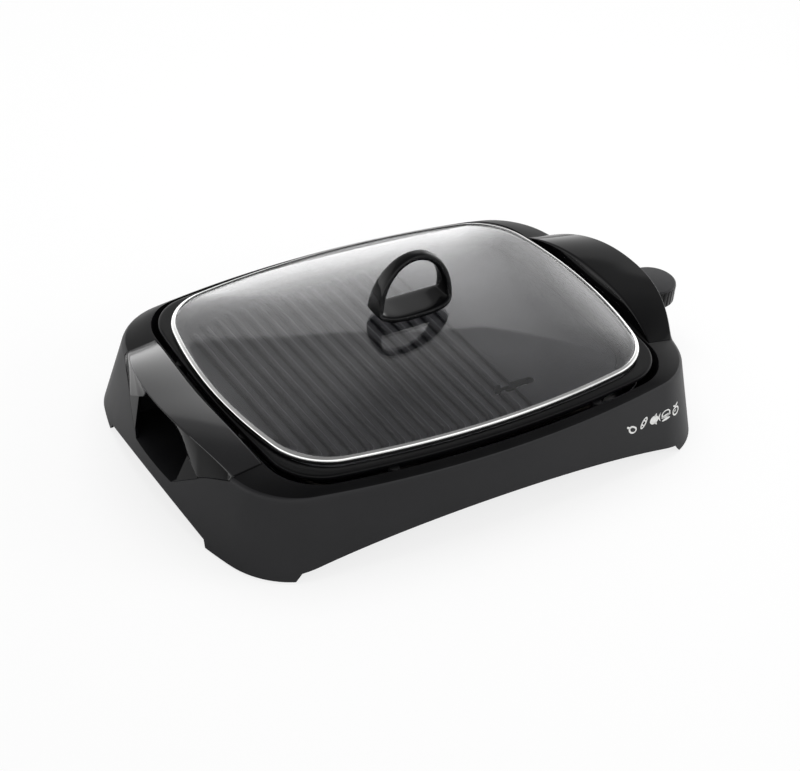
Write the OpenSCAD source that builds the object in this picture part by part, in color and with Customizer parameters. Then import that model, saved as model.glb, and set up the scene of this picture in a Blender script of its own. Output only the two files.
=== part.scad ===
// Electric indoor grill: a moulded base that holds a heating element, a lift-out
// ridged cooking plate over a drip tray, a lift-off domed glass lid with a steel
// rim, and a thermostat control that plugs in under the right-hand handle.
// Millimetres. X runs along the grill, -Y is the front, +Z is up.

/* [Base] */
// Length over the foot of the skirt
foot_l = 546; // [540:2:550]
// Depth over the foot of the skirt
foot_w = 372; // [368:2:376]
// Length over the top edge of the skirt
crease_l = 514; // [510:2:516]
// Depth over the top edge of the skirt
crease_w = 353; // [352:1:356]
// Height of the top edge of the skirt
crease_z = 78.5; // [78:0.5:79.5]
// Length of the mouth that the cooking plate hangs in
mouth_l = 424; // [424:1:426]
// Depth of the mouth
mouth_w = 337; // [337:1:339]
// Height of the mouth's edge
mouth_z = 84.2; // [84:0.1:84.8]
// Thickness of the moulded walls
wall = 3; // [2.5:0.5:3.5]
// Height of the arch in the middle of the long sides
side_arch_z = 32; // [24:1:33]
// Height of the arch in the middle of the ends
end_arch_z = 21; // [14:1:24]

/* [Handles] */
// Half length of a handle, from its middle to a seam
grip_y = 103; // [101:1:104]
// How far a handle's inner edge rises from its seams to its middle
grip_rise = 13.5; // [10:0.5:15]
// How much further its outer edge rises
grip_lean = 9; // [6:1:10]
// How far a handle's outer edge bows out
grip_bow = 27; // [20:1:28]

/* [Cooking plate] */
// Length over the plate's flange
plate_l = 419; // [416:1:420]
// Depth over the plate's flange
plate_w = 324; // [322:1:325]
// Height of the cooking floor
floor_z = 74; // [73:0.5:75]
// Height of the ridge tops
ridge_z = 78.3; // [77:0.1:79]
// Distance from ridge to ridge
ridge_pitch = 15.4; // [15:0.1:15.6]
// Number of ridges
ridge_count = 15; // [12:1:15]

/* [Lid] */
// Length over the steel rim
lid_l = 418; // [416:1:420]
// Depth over the steel rim
lid_w = 308; // [305:1:310]
// Rise of the glass dome above its edge
dome_rise = 26; // [20:1:30]
// Thickness of the glass
glass_t = 4; // [3:0.5:4.5]
// Half length of the handle loop, at the middle of its band
loop_x = 38; // [36:1:42]
// Height of the handle loop above its widest level
loop_z = 48; // [44:1:50]

/* [Control] */
// Distance from the base's centre to the dial's axis
dial_x = 296.5; // [294:0.5:298]
// Radius of the dial
dial_r = 25; // [22:1:25]
// Height of the dial's flat top
dial_top_z = 70.5; // [68:0.5:72]

/* [Hidden] */

eps = 0.01;
grip_out_x = 240;
grip_mid_x = grip_out_x + grip_bow;
// The control reaches out on one side, so the base stands off centre in the row
base_x = -(dial_x + dial_r - grip_mid_x) / 2;

// Outlines of the skirt and mouth: bows of the ends and sides, corner radius
foot_bow = [16.5, 8, 73];
crease_bow = [13.5, 17, 67];
mouth_bow = [2.5, 13, 51];
lid_bow = [9, 12, 61];
plate_bow = [5, 12, 49];
skirt_z = 1.5;
well_z = 27;
well_t = 2.5;
side_steps = 5;
corner_steps = 6;

// Finger pockets in the two ends
pocket_x = mouth_l / 2 + well_t + 0.5;
pocket_y = 69;
pocket_floor_z = 33;
pocket_rib_t = 2.5;

// Handle seat and fit
grip_gap = 0.3;
grip_in_x = 211;
grip_foot_x = 215;
grip_foot_z = 78.5;
grip_hook = [67, 57];
grip_seam_z = 76;
grip_crown_z = 86;
grip_under = 5.5;
grip_steps = 28;
cheek = [[35, 33.3], [41.5, 40], [48, 69.5], [50, 76], [62, 69], grip_hook];

// Posts that carry the plate and take the cover's screws
post_r = 5;
post_top_z = 83.9;
web_top_z = 72;
side_post = [110, 157.5];
end_post = [206.4, 60];
cover_z = 27.2;
cover_t = 3;

foot_pos = [222, 132];
grip_screw = [231, 80];
rest_r = 10;

shield_z = 36;
standoff = [100, 110.5];
shield_t = 0.8;
shield_top_z = 66;
element_z = 46;
element_r = 3.6;
element_x = 166;
element_y = 122;
element_bend = 36;
terminal_y = 14;
terminal_bend = 14;
socket_x = 218;
pin_r = 2.4;
probe_z = 58;
probe_r = 3.2;
tray_z = 37.1;
tray_top_z = 53;
tray_t = 1.2;

flange_z = 84.2;
flange_top_z = 88.2;
plate_under_z = 69;
first_ridge_x = -171.5;
smooth_x0 = 56;
smooth_x1 = 184;
smooth_z = 77;
drain = [60, -96];
drain_l = 34;
drain_w = 9;

rim_z = 88.5;
edge_z = 94.2;
apex_z = edge_z + dome_rise;
hole_r = 4;
seal_t = 1.2;
loop_mid_z = 133;
loop_low = 8.4;
loop_steps = 48;

control_x = 224;
control_end_x = 264;
control_y = 28;
control_z = 34;
control_split_z = 50.5;
control_top_z = 66;
tongue_r = 20;
tongue_x = 286;
tongue_z = 38;
dial_z = 51;
sleeve_r = 4;
bush_x = 276;
bush_z = 44;

plastic = [0.12, 0.12, 0.13];
gloss = [0.08, 0.08, 0.09];
coating = [0.2, 0.2, 0.21];
steel = [0.75, 0.76, 0.78];
zinc = [0.6, 0.6, 0.62];

// Outline of a rounded rectangle l by w whose ends and sides are shallow arcs.
// bow is [end bow, side bow, corner radius]. Points run anticlockwise.
function bowed(l, w, bow) =
  let (r = bow[2], ax = l / 2 - r - bow[0], by = w / 2 - r - bow[1])
  let (rx = (by * by + bow[0] * bow[0]) / (2 * bow[0]))
  let (ry = (ax * ax + bow[1] * bow[1]) / (2 * bow[1]))
  let (tx = asin(by / rx), ty = asin(ax / ry))
  let (cx = ax + bow[0] - rx, cy = by + bow[1] - ry)
  let (end_arc = [for (i = [0:side_steps]) let (t = tx * i / side_steps)
    [cx + (rx + r) * cos(t), (rx + r) * sin(t)]])
  let (corner = [for (i = [1:corner_steps - 1]) let (t = tx + (90 - ty - tx) * i / corner_steps)
    [ax + r * cos(t), by + r * sin(t)]])
  let (side_arc = [for (i = [side_steps:-1:0]) let (t = ty * i / side_steps)
    [(ry + r) * sin(t), cy + (ry + r) * cos(t)]])
  let (q = concat(end_arc, corner, side_arc), n = len(q))
  concat(q,
    [for (i = [n - 2:-1:0]) [-q[i][0], q[i][1]]],
    [for (i = [1:n - 1]) [-q[i][0], -q[i][1]]],
    [for (i = [n - 2:-1:1]) [q[i][0], -q[i][1]]]);

// The same outline moved in by d all round
function inset(l, w, bow, d) = bowed(l - 2 * d, w - 2 * d, [bow[0], bow[1], max(bow[2] - d, 2)]);
function blend(a, b, t) = [for (i = [0:len(a) - 1]) a[i] * (1 - t) + b[i] * t];
function at_z(outline, z) = [for (p = outline) [p[0], p[1], z]];
function scaled(outline, k, z) = [for (p = outline) [p[0] * k, p[1] * k, z]];

// Solid skinned over rings of equal length, closed flat at both ends, or joined
// last to first when loop is true
module skin(rings, loop = false) {
  n = len(rings[0]);
  m = len(rings);
  last = loop ? m - 1 : m - 2;
  walls = [for (k = [0:last], i = [0:n - 1])
    let (j = (i + 1) % n, u = (k + 1) % m)
    each [[k * n + i, u * n + i, u * n + j], [k * n + i, u * n + j, k * n + j]]];
  caps = loop ? [] : [[for (i = [0:n - 1]) i], [for (i = [n - 1:-1:0]) (m - 1) * n + i]];
  polyhedron(points = [for (r = rings) each r], faces = concat(walls, caps), convexity = 8);
}

module placed() translate([base_x, 0, 0]) children();
module both_ends() {
  children();
  mirror([1, 0, 0]) children();
}
module four_corners(p) for (u = [0, 1], v = [0, 1])
  mirror([u, 0, 0]) mirror([0, v, 0]) translate([p[0], p[1], 0]) children();
module along_x(p, r, h, fn = 48) translate(p) rotate([0, 90, 0]) cylinder(r = r, h = h, $fn = fn);

foot_ring = bowed(foot_l, foot_w, foot_bow);
crease_ring = bowed(crease_l, crease_w, crease_bow);
mouth_ring = bowed(mouth_l, mouth_w, mouth_bow);
lid_ring = bowed(lid_l, lid_w, lid_bow);

module skirt_solid() skin([
  at_z(blend(foot_ring, crease_ring, skirt_z / crease_z), skirt_z),
  at_z(blend(foot_ring, crease_ring, 0.975), crease_z * 0.975),
  at_z(inset(crease_l, crease_w, crease_bow, 1.6), crease_z + 1),
  at_z(mouth_ring, mouth_z)]);

module skirt_hollow() skin([
  at_z(inset(foot_l, foot_w, foot_bow, wall), -1),
  at_z(inset(crease_l, crease_w, crease_bow, wall), crease_z - wall)]);

// Profile of the opening under a long side or an end: a shallow parabola from heel
// to top, with a slanted leg outside each heel
function arch(heel, top, foot) = concat([[-foot - 3, -5]],
  [for (i = [-10:10]) [heel[0] * i / 10, heel[1] + (top - heel[1]) * (1 - i * i / 100)]], [[foot + 3, -5]]);

module arches() {
  difference() {
    rotate([90, 0, 0]) translate([0, 0, -foot_w]) linear_extrude(2 * foot_w)
      polygon(arch([206, 9], side_arch_z, 214));
    translate([-foot_l / 2, -150, -10]) cube([foot_l, 300, 60]);
    translate([0, 0, well_z - eps]) linear_extrude(20)
      polygon(inset(mouth_l, mouth_w, mouth_bow, -well_t - 0.05));
  }
  rotate([90, 0, 90]) translate([0, 0, -foot_l]) linear_extrude(2 * foot_l)
    polygon(arch([92, 8], end_arch_z, 97));
}

// End of the skirt at depth y and height z
function end_x(outline, y) = lookup(abs(y),
  [for (i = [0:side_steps + corner_steps - 1]) [outline[i][1], outline[i][0]]]);
function skirt_end_x(y, z) = let (t = z / crease_z) end_x(foot_ring, y) * (1 - t) + end_x(crease_ring, y) * t;

// Lower edge of a handle's outer face: high over the fingers, deep beside them,
// and up again along the seam. Over the fingers it is drawn in under the handle.
function grip_low_z(y) = let (a = abs(y)) a < grip_hook[0]
  ? grip_crown_z - (grip_crown_z - grip_hook[1]) * pow(a / grip_hook[0], 1.6)
  : grip_hook[1] + (grip_seam_z - grip_hook[1]) * pow((a - grip_hook[0]) / (grip_y - grip_hook[0]), 0.8);
function grip_low_x(y) = skirt_end_x(y, min(grip_low_z(y), crease_z))
  - grip_under * max(0, 1 - pow(y / cheek[2][0], 2));
function grip_s(y) = 1 - pow(min(abs(y), grip_y) / grip_y, 2);
function grip_t(y) = 1 - pow(min(abs(y), grip_y) / grip_y, 3);
function grip_inner(y) = [grip_in_x + 12.6 * grip_s(y), mouth_z + grip_rise * grip_t(y)];
function grip_outer(y) = [grip_out_x + grip_bow * grip_s(y),
  crease_z + 1 + (grip_rise + grip_lean) * grip_t(y)];

function grip_section(y) = let (i = grip_inner(y), o = grip_outer(y))
  [[grip_foot_x, y, grip_foot_z], [i[0], y, i[1] - 1.6], [i[0] + 1.6, y, i[1]], [o[0] - 2.4, y, o[1] + 0.3],
   [o[0], y, o[1] - 1.6], [grip_low_x(y), y, grip_low_z(y)]];

function grip_pocket_section(y) = let (i = grip_inner(y), g = grip_gap)
  [[grip_foot_x - g, y, grip_foot_z - g], [i[0] - g, y, i[1] - 1.6], [i[0] - g, y, 130], [330, y, 130],
   [330, y, grip_low_z(y) - g], [grip_low_x(y), y, grip_low_z(y) - g]];

// Cheeks that run down beside the finger opening, in the skirt's own surface
module cheeks() intersection() {
  difference() {
    skirt_solid();
    skirt_hollow();
  }
  for (side = [-1, 1]) rotate([90, 0, 90]) translate([0, 0, pocket_x]) linear_extrude(100)
    polygon([for (p = cheek) [side * p[0], p[1]]]);
}

module grip() {
  skin([for (i = [0:grip_steps]) grip_section(-grip_y + 2 * grip_y * i / grip_steps)]);
  cheeks();
}
module grip_pocket() {
  end_y = grip_y + grip_gap;
  skin([for (i = [0:grip_steps]) grip_pocket_section(-end_y + 2 * end_y * i / grip_steps)]);
}

module finger_notch() rotate([90, 0, 90]) translate([0, 0, pocket_x]) linear_extrude(100)
  polygon([[-cheek[0][0], pocket_floor_z], [cheek[0][0], pocket_floor_z], grip_hook + [0.4, -0.3],
    [grip_hook[0] - 4, 99], [4 - grip_hook[0], 99], [-grip_hook[0] - 0.4, grip_hook[1] - 0.3]]);

// Floor and side ribs that close the finger pockets off from the wiring space,
// with the bosses for the handles' screws and the posts over the rubber feet
module pocket_walls() intersection() {
  skirt_solid();
  union() {
    both_ends() {
      translate([mouth_l / 2 - 1, -150, pocket_floor_z - wall]) cube([80, 300, wall]);
      for (y = [-pocket_y - pocket_rib_t, pocket_y])
        translate([mouth_l / 2 + 1, y, well_z]) cube([80, pocket_rib_t, crease_z - well_z]);
    }
    four_corners(foot_pos) translate([0, 0, 3]) cylinder(r = 11, h = crease_z - 4, $fn = 48);
    four_corners(grip_screw) translate([0, 0, well_z]) cylinder(r = 6.5, h = 50, $fn = 48);
  }
}

module base_shell() color(plastic) placed() difference() {
  union() {
    difference() {
      skirt_solid();
      skirt_hollow();
    }
    pocket_walls();
    translate([0, 0, well_z]) linear_extrude(crease_z - well_z)
      polygon(inset(mouth_l, mouth_w, mouth_bow, -well_t));
  }
  difference() {
    translate([0, 0, well_z - 5]) linear_extrude(mouth_z - well_z + 10) polygon(mouth_ring);
    four_corners(side_post) plate_post([-2, 0, 4, 12]);
    four_corners(end_post) plate_post([0, -2, 12, 4]);
  }
  arches();
  both_ends() grip_pocket();
  both_ends() finger_notch();
  four_corners(side_post) cover_screw_bore();
  four_corners(foot_pos) cylinder(r = 4.05, h = 14, $fn = 48);
  four_corners(grip_screw) {
    cylinder(r = 2.2, h = 100, $fn = 48);
    cylinder(r = 4.4, h = 40, $fn = 48);
  }
  translate([mouth_l / 2 - 4, -27, 39]) cube([12, 54, 27]);
}

// Post for the plate's flange to rest on; web is the rib that joins it to the wall
module plate_post(web) translate([0, 0, cover_z + cover_t]) {
  cylinder(r = post_r, h = post_top_z - cover_z - cover_t, $fn = 48);
  translate([web[0], web[1], 0]) cube([web[2], web[3], web_top_z - cover_z - cover_t]);
}
module cover_screw_bore() translate([0, 0, cover_z]) cylinder(r = 1.65, h = 20, $fn = 32);

module bottom_cover() color(plastic) placed() difference() {
  translate([0, 0, cover_z]) linear_extrude(cover_t) polygon(inset(mouth_l, mouth_w, mouth_bow, 0.6));
  four_corners(side_post) cylinder(r = 1.9, h = 60, $fn = 32);
  for (x = [-150:20:150], side = [-1, 1]) translate([x - 3, side * 110 - 20, cover_z - 1])
    cube([6, 40, cover_t + 2]);
}

module handle_body() difference() {
  grip();
  for (side = [-1, 1]) translate([grip_screw[0], side * grip_screw[1], 50])
    cylinder(r = 1.95, h = 30, $fn = 32);
}
module right_handle() color(gloss) placed() handle_body();
module left_handle() color(gloss) placed() mirror([1, 0, 0]) handle_body();

module screw(r, length, head_r, head_h) {
  cylinder(r = r, h = length, $fn = 32);
  translate([0, 0, -head_h]) difference() {
    cylinder(r = head_r, h = head_h, $fn = 32);
    for (a = [0, 90]) rotate(a) translate([-head_r / 2, -0.4, -eps]) cube([head_r, 0.8, head_h / 2]);
  }
}

module handle_screws() color(zinc) placed() four_corners(grip_screw)
  translate([0, 0, 40]) screw(1.9, 39, 4, 2.4);
module cover_screws() color(zinc) placed() four_corners(side_post)
  translate([0, 0, cover_z]) screw(1.6, 18, 3.6, 2);

module rubber_foot() {
  cylinder(r = rest_r, h = 3, $fn = 64);
  cylinder(r = 4, h = 12, $fn = 48);
}
module front_left_foot() color(gloss) placed() translate([-foot_pos[0], -foot_pos[1], 0]) rubber_foot();
module front_right_foot() color(gloss) placed() translate([foot_pos[0], -foot_pos[1], 0]) rubber_foot();
module back_left_foot() color(gloss) placed() translate([-foot_pos[0], foot_pos[1], 0]) rubber_foot();
module back_right_foot() color(gloss) placed() translate([foot_pos[0], foot_pos[1], 0]) rubber_foot();

module heat_shield() color(steel) placed() difference() {
  skin([at_z(bowed(384, 296, [4, 10, 36]), shield_z), at_z(bowed(398, 308, [4, 12, 44]), shield_top_z)]);
  skin([at_z(inset(384, 296, [4, 10, 36], shield_t), shield_z + shield_t),
    at_z(inset(398.4, 308.4, [4, 12, 44], shield_t), shield_top_z + 1)]);
  translate([180, -34, shield_z + 1.5]) cube([30, 68, 40]);
  four_corners(standoff) cylinder(r = 1.9, h = 60, $fn = 32);
}

module shield_standoffs() color("ivory") placed() four_corners(standoff)
  translate([0, 0, cover_z + cover_t]) difference() {
    cylinder(r = 6, h = shield_z - cover_z - cover_t, $fn = 48);
    translate([0, 0, -1]) cylinder(r = 1.7, h = 20, $fn = 32);
  }
module shield_screws() color(zinc) placed() four_corners(standoff)
  translate([0, 0, shield_z + shield_t]) mirror([0, 0, 1]) screw(1.65, 6, 4, 2.2);

// Quarter bend of the element's tube, from +Y at [r, 0] round to -X at [0, r]
module tube_bend(r) rotate_extrude(angle = 90, $fn = 96) translate([r, 0]) circle(r = element_r, $fn = 32);
module tube_x(x0, x1, y) along_x([x0, y, 0], element_r, x1 - x0, 32);
module tube_y(x, y0, y1) translate([x, y0, 0]) rotate([-90, 0, 0]) cylinder(r = element_r, h = y1 - y0, $fn = 32);

module half_element() {
  long = element_x - element_bend;
  wide = element_y - element_bend;
  tube_x(element_x + terminal_bend, socket_x, terminal_y);
  translate([element_x + terminal_bend, terminal_y + terminal_bend, 0]) rotate(180) tube_bend(terminal_bend);
  tube_y(element_x, terminal_y + terminal_bend, wide);
  translate([long, wide, 0]) tube_bend(element_bend);
  tube_x(-long, long, element_y);
  translate([-long, wide, 0]) rotate(90) tube_bend(element_bend);
  tube_y(-element_x, 0, wide);
}

module heating_element() color([0.3, 0.3, 0.32]) placed() translate([0, 0, element_z]) {
  half_element();
  mirror([0, 1, 0]) half_element();
}

// Saddles that hold the element off the shield's floor
module element_clips() color(steel) placed() for (x = [-90, 90], side = [-1, 1])
  translate([x, side * element_y, 0]) difference() {
    translate([-4, -5.5, shield_z + shield_t]) cube([8, 11, element_z - shield_z]);
    translate([-10, 0, element_z]) rotate([0, 90, 0]) cylinder(r = element_r + 0.05, h = 20, $fn = 32);
  }

module inlet_socket() color("dimgray") placed() difference() {
  union() {
    translate([200, -26.5, 39.5]) cube([22, 53, 26]);
    translate([205, -32, 37.8]) cube([mouth_l / 2 - 0.4 - 205, 64, 29.4]);
  }
  for (side = [-1, 1]) along_x([190, side * terminal_y, element_z], element_r + 0.05, 40);
  along_x([190, 0, probe_z], 4.55, 40);
}
module inlet_pins() color(zinc) placed() for (side = [-1, 1])
  along_x([socket_x, side * terminal_y, element_z], pin_r, 22, 32);
module probe_guide() color(steel) placed() difference() {
  along_x([160, 0, probe_z], 4.5, 62);
  along_x([159, 0, probe_z], probe_r + 0.1, 70);
}

module drip_tray() color(steel) placed() difference() {
  skin([at_z(bowed(284, 202, [0.6, 0.6, 20]), tray_z), at_z(bowed(298.4, 216.4, [0.6, 0.6, 26]), tray_top_z - tray_t),
    at_z(bowed(306, 224, [0.6, 0.6, 30]), tray_top_z - tray_t + eps), at_z(bowed(306, 224, [0.6, 0.6, 30]), tray_top_z)]);
  skin([at_z(bowed(281.6, 199.6, [0.6, 0.6, 19]), tray_z + tray_t), at_z(bowed(296, 214, [0.6, 0.6, 25]), tray_top_z + eps)]);
}

module plate_blank() difference() {
  skin([at_z(bowed(390, 300, [4, 11, 50]), plate_under_z), at_z(bowed(402, 312, [4, 11, 55]), flange_z - eps),
    at_z(bowed(plate_l, plate_w, plate_bow), flange_z), at_z(bowed(plate_l, plate_w, plate_bow), flange_z + 2.2),
    at_z(inset(plate_l, plate_w, plate_bow, 2.5), flange_top_z)]);
  skin([at_z(bowed(380, 290, [4, 10, 47]), floor_z), at_z(bowed(394, 304, [4, 11, 52]), flange_top_z + eps)]);
}

module ridge() rotate([90, 0, 0]) translate([0, 0, -150]) linear_extrude(300)
  polygon([[-4, floor_z - 1], [-4, floor_z + 0.6], [-2.4, ridge_z - 0.6], [-1.6, ridge_z],
    [1.6, ridge_z], [2.4, ridge_z - 0.6], [4, floor_z + 0.6], [4, floor_z - 1]]);

module drain_slot() translate([drain[0], drain[1], plate_under_z - 5]) {
  translate([-drain_l / 2, -drain_w / 2, 0]) cube([drain_l, drain_w, 20]);
  for (side = [-1, 1]) translate([side * drain_l / 2, 0, 0]) cylinder(r = drain_w / 2, h = 20, $fn = 32);
}

module grill_plate() color(coating) placed() difference() {
  union() {
    plate_blank();
    intersection() {
      for (i = [0:ridge_count - 1]) translate([first_ridge_x + i * ridge_pitch, 0, 0]) ridge();
      linear_extrude(100) polygon(bowed(368, 262, [4, 9, 40]));
    }
    intersection() {
      translate([smooth_x0, -150, floor_z - 1]) cube([smooth_x1, 300, smooth_z - floor_z + 1]);
      linear_extrude(100) polygon(bowed(368, 262, [4, 9, 40]));
    }
  }
  drain_slot();
}

// The glass rises in rings, from the lid's outline at the edge to an oval on top
lid_oval = [for (p = lid_ring) let (t = atan2(p[1] / lid_w, p[0] / lid_l))
  [lid_l / 2 * cos(t), lid_w / 2 * sin(t)]];
function dome_z(k) = edge_z + dome_rise * (1 - pow(k, 2.4));
function dome_ring(k, z) = scaled(blend(lid_oval, lid_ring, 1 - pow(1 - k * k, 2)), k, z);
dome_k = [0.03, 0.2, 0.38, 0.55, 0.7, 0.83, 0.93, 0.985];

module lid_glass() color([0.75, 0.8, 0.8, 0.4]) placed() difference() {
  skin(concat([for (k = dome_k) dome_ring(k, dome_z(k) - glass_t)],
    [for (i = [len(dome_k) - 1:-1:0]) dome_ring(dome_k[i], dome_z(dome_k[i]))]));
  translate([0, 0, apex_z - 10]) cylinder(r = hole_r, h = 20, $fn = 48);
}

// Folded steel channel round the edge of the glass: [scale of the outline, height]
rim_section = [[1, rim_z], [1, edge_z + 0.2], [0.996, edge_z + 1.3], [0.972, dome_z(0.972) + 0.9],
  [0.972, dome_z(0.972) + 0.2], [0.992, edge_z + 0.4], [0.992, rim_z + 0.8],
  [0.972, rim_z + 0.8], [0.972, rim_z]];
module lid_rim() color(steel) placed() skin([for (p = rim_section) scaled(lid_ring, p[0], p[1])], loop = true);

// Closed band of the lid's handle: narrow on top, and a wide flat-bottomed dish below
function full(v) = sign(v) * pow(abs(v), 0.7);
function loop_point(t) = sin(t) > 0 ? [loop_x * cos(t), loop_mid_z + loop_z * sin(t)]
  : [loop_x * full(cos(t)), loop_mid_z + loop_low * full(sin(t))];
function loop_station(t) =
  let (a = loop_point(t - 1), b = loop_point(t + 1), p = loop_point(t), s = sin(t))
  let (d = (b - a) / norm(b - a), out = [d[1], -d[0]])
  let (h = 3.2, w = s > 0 ? 11 - 5.5 * s : 11 - 7 * s)
  [for (q = [[h, -0.7], [h, 0.7], [0.5 * h, 1], [-0.5 * h, 1], [-h, 0.7], [-h, -0.7], [-0.5 * h, -1], [0.5 * h, -1]])
    [p[0] + out[0] * q[0], q[1] * w, p[1] + out[1] * q[0]]];

module lid_handle() color(gloss) placed() difference() {
  union() {
    skin([for (i = [0:loop_steps - 1]) loop_station(360 * i / loop_steps)], loop = true);
    translate([0, 0, apex_z + seal_t]) cylinder(r = 13, h = 5, $fn = 64);
  }
  translate([0, 0, apex_z]) cylinder(r = 2.55, h = 6.2, $fn = 32);
}
module lid_seal() color(gloss) placed() translate([0, 0, apex_z]) difference() {
  cylinder(r = 15, h = seal_t, $fn = 64);
  translate([0, 0, -1]) cylinder(r = 2.7, h = 5, $fn = 32);
}
module lid_inner_washer() color(steel) placed() translate([0, 0, apex_z - glass_t - 1.3]) difference() {
  cylinder(r = 9, h = 1.2, $fn = 48);
  translate([0, 0, -1]) cylinder(r = 2.7, h = 5, $fn = 32);
}
module lid_screw() color(steel) placed() translate([0, 0, apex_z - glass_t - 1.3]) screw(2.5, 11, 5.5, 2.6);

module control_block(z0, z1, d) hull() for (x = [control_x + 5, control_end_x - 8], y = [-1, 1])
  translate([x, y * (control_y - (x < 240 ? 5 : 8)), z0])
    cylinder(r = (x < 240 ? 5 : 8) - d, h = z1 - z0, $fn = 32);

module tongue(z0, z1, d) {
  translate([250, -tongue_r + d, z0]) cube([tongue_x - 250, 2 * (tongue_r - d), z1 - z0]);
  translate([tongue_x, 0, z0]) cylinder(r = tongue_r - d, h = z1 - z0, $fn = 64);
}

module control_base() color(plastic) placed() difference() {
  union() {
    control_block(control_z, control_split_z, 0);
    tongue(tongue_z, control_split_z, 0);
  }
  difference() {
    control_block(control_z + 2, control_split_z + 1, 2);
    translate([control_x, -control_y, control_z]) cube([22, 2 * control_y, 20]);
  }
  for (side = [-1, 1]) along_x([control_x - 1, side * terminal_y, element_z], sleeve_r + 0.05, 21);
  for (side = [-1, 1]) translate([control_x + 7, side * 23, 0]) {
    cylinder(r = 1.35, h = 80, $fn = 32);
    cylinder(r = 2.9, h = control_z + 1.6, $fn = 32);
  }
  translate([dial_x, 0, 42]) cylinder(r = 3.05, h = 20, $fn = 48);
  translate([bush_x, 14, bush_z]) rotate([-90, 0, 0]) cylinder(r = 5.05, h = 10, $fn = 48);
}

module control_cover() color(plastic) placed() difference() {
  control_block(control_split_z + 0.1, control_top_z, 0);
  difference() {
    control_block(control_split_z - 1, control_top_z - 2, 2);
    translate([control_x, -control_y, control_z]) cube([10, 2 * control_y, 60]);
  }
  along_x([control_x - 1, 0, probe_z], probe_r, 12);
  for (side = [-1, 1]) translate([control_x + 7, side * 23, 40]) cylinder(r = 1.35, h = 22, $fn = 32);
  translate([252, -16, 60]) cylinder(r = 3.05, h = 20, $fn = 48);
}

module thermostat_block() color("tan") placed() translate([247, -15, control_z + 2]) cube([13, 30, 22]);
module contact_sleeves() color("goldenrod") placed() for (side = [-1, 1]) difference() {
  along_x([control_x, side * terminal_y, element_z], sleeve_r, 20);
  along_x([control_x - 1, side * terminal_y, element_z], pin_r + 0.1, 18);
}
module probe_rod() color(steel) placed() {
  along_x([166, 0, probe_z], probe_r, control_x + 10 - 166);
  translate([166, 0, probe_z]) sphere(r = probe_r, $fn = 32);
}
module indicator_lens() color([0.8, 0.1, 0.05]) placed() translate([252, -16, control_top_z - 2]) {
  cylinder(r = 3, h = 2.8, $fn = 48);
  cylinder(r = 3, h = 2, $fn = 48);
}
module cord_bush() color(gloss) placed() translate([bush_x, 15, bush_z]) rotate([-90, 0, 0]) difference() {
  union() {
    cylinder(r = 5, h = 13, $fn = 48);
    translate([0, 0, 5.2]) cylinder(r = 6, h = 2, $fn = 48);
  }
  translate([0, 0, -1]) cylinder(r = 3.6, h = 20, $fn = 48);
}
module control_screws() color(zinc) placed() for (side = [-1, 1])
  translate([control_x + 7, side * 23, control_z + 1.6]) screw(1.3, 24, 2.6, 1.4);

// Flat-topped dial with fine flutes round its side
module dial_knob() color([0.22, 0.22, 0.23]) placed() translate([dial_x, 0, 0]) difference() {
  rotate_extrude($fn = 96) polygon([[0, dial_z], [dial_r - 1.2, dial_z], [dial_r, dial_z + 1.2],
    [dial_r, dial_top_z - 2], [dial_r - 0.6, dial_top_z - 0.6], [dial_r - 2, dial_top_z], [0, dial_top_z]]);
  for (a = [0:12:348]) rotate(a) translate([dial_r + 1, 0, dial_z - 1]) cylinder(r = 1.8, h = 14, $fn = 24);
  translate([0, 0, dial_z - 1]) cylinder(r = 2.95, h = 9, $fn = 48);
}
module dial_spindle() color(zinc) placed() translate([dial_x, 0, 43]) cylinder(r = 2.95, h = 15, $fn = 48);

base_shell();
bottom_cover();
left_handle();
right_handle();
handle_screws();
cover_screws();
front_left_foot();
front_right_foot();
back_left_foot();
back_right_foot();
heat_shield();
shield_standoffs();
shield_screws();
heating_element();
element_clips();
inlet_socket();
inlet_pins();
probe_guide();
drip_tray();
grill_plate();
lid_glass();
lid_rim();
lid_handle();
lid_seal();
lid_inner_washer();
lid_screw();
control_base();
control_cover();
thermostat_block();
contact_sleeves();
probe_rod();
indicator_lens();
cord_bush();
control_screws();
dial_knob();
dial_spindle();
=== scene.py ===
from math import asin, atan2, copysign, cos, pi, radians, sin

import bmesh
import bpy
from mathutils import Matrix, Vector


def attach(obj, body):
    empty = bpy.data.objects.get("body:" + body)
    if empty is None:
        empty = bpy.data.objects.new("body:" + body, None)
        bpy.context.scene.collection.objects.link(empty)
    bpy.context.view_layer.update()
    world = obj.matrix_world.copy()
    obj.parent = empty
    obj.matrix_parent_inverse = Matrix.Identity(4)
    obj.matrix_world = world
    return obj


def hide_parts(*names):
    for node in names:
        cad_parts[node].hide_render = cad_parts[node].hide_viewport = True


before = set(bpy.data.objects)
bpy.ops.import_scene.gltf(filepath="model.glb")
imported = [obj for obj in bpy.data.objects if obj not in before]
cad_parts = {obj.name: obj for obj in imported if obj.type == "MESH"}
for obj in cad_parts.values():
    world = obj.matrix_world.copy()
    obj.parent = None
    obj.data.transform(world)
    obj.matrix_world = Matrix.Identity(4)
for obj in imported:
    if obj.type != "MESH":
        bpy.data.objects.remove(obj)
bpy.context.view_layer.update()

# Lengths are millimetres about the middle of the base until a piece is finished.
# The base stands off the frame's centre because the dial reaches out at one end.
BASE_X = -27.25
MM = 0.001


# Outlines and sections

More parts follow.
